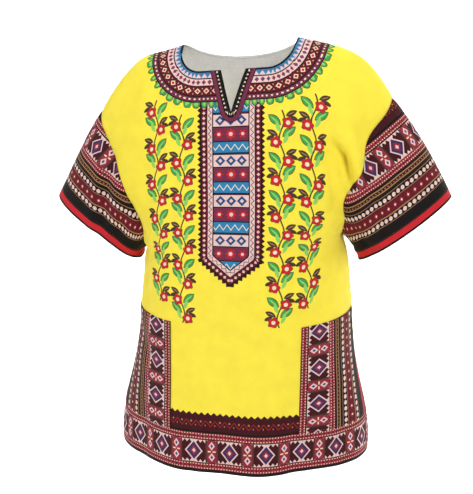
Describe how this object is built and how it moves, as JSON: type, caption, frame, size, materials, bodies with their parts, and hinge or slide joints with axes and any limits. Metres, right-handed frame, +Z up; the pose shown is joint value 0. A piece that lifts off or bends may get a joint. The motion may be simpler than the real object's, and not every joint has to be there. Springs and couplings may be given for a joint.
{
  "type": "dashiki tunic shirt",
  "caption": "Loose short-sleeved tunic shirt, filled out as if worn, with a wide slit neck, hip patch pockets and a flared hem; hollow and open at neck, cuffs and hem.",
  "frame": {"origin": "at the neck, midway between the two high shoulder points, where the wearer's shoulders hold the shirt up", "axes": "+X towards the wearer's left, +Y from front to back (the front faces -Y), +Z up"},
  "size_m": [0.6937, 0.2995, 0.7397],
  "materials": {
    "front_cotton": "yellow printed cotton, smooth and matt",
    "back_cotton": "yellow printed cotton, smooth and matt",
    "sleeve_cotton": "dark red border-printed cotton, smooth and matt",
    "pocket_cotton": "dark red border-printed cotton, smooth and matt"
  },
  "bodies": {
    "root": {"front": "front_cotton", "back": "back_cotton", "sleeve_left": "sleeve_cotton", "sleeve_right": "sleeve_cotton", "pocket_left": "pocket_cotton", "pocket_right": "pocket_cotton"}
  },
  "joints": []
}
